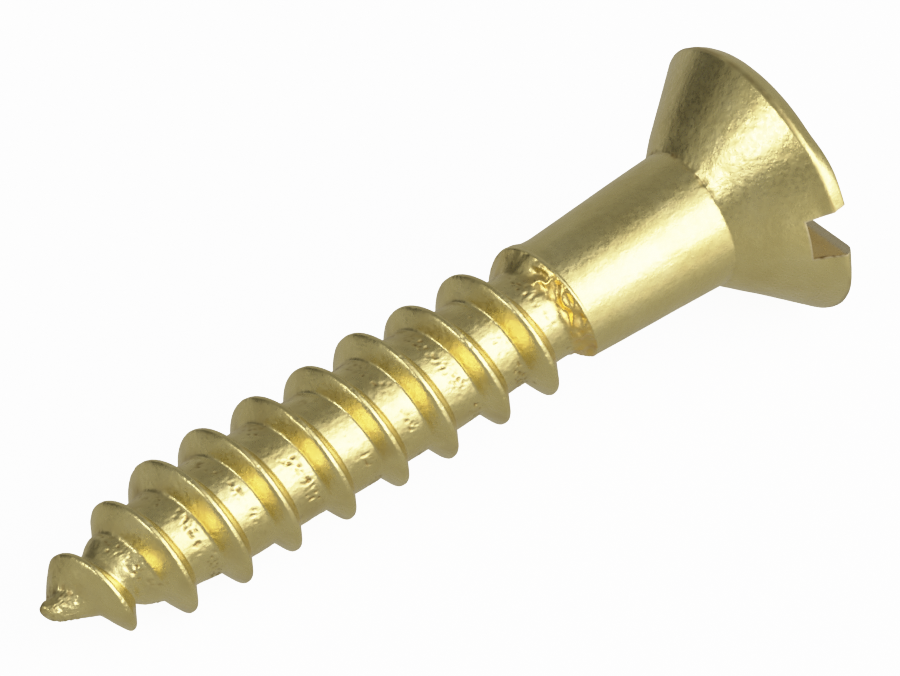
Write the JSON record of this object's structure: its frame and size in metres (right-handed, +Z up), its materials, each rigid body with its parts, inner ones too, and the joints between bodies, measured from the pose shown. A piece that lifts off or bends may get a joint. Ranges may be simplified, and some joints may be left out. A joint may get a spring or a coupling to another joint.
{
  "type": "wood screw",
  "caption": "Slotted countersunk wood screw in brass with a plain shank, a right-hand coarse thread and a gimlet point.",
  "frame": {"origin": "on the screw's axis, in the plane of the head's flat top, which is the plane that ends flush with the timber", "axes": "+X along the screw's axis from the point to the head; +Y along the driver slot, which makes the head a little narrower that way than across the slot; +Z up, with the screw lying on its side"},
  "size_m": [0.0245, 0.008, 0.0082],
  "materials": {
    "brass": "one piece of solid brass, satin and lightly tumbled, with a faint olive tarnish; bright thread flanks and small pits in the thread's root"
  },
  "bodies": {
    "root": {"head": "brass", "shank": "brass", "thread": "brass", "gimlet_point": "brass"}
  },
  "joints": []
}
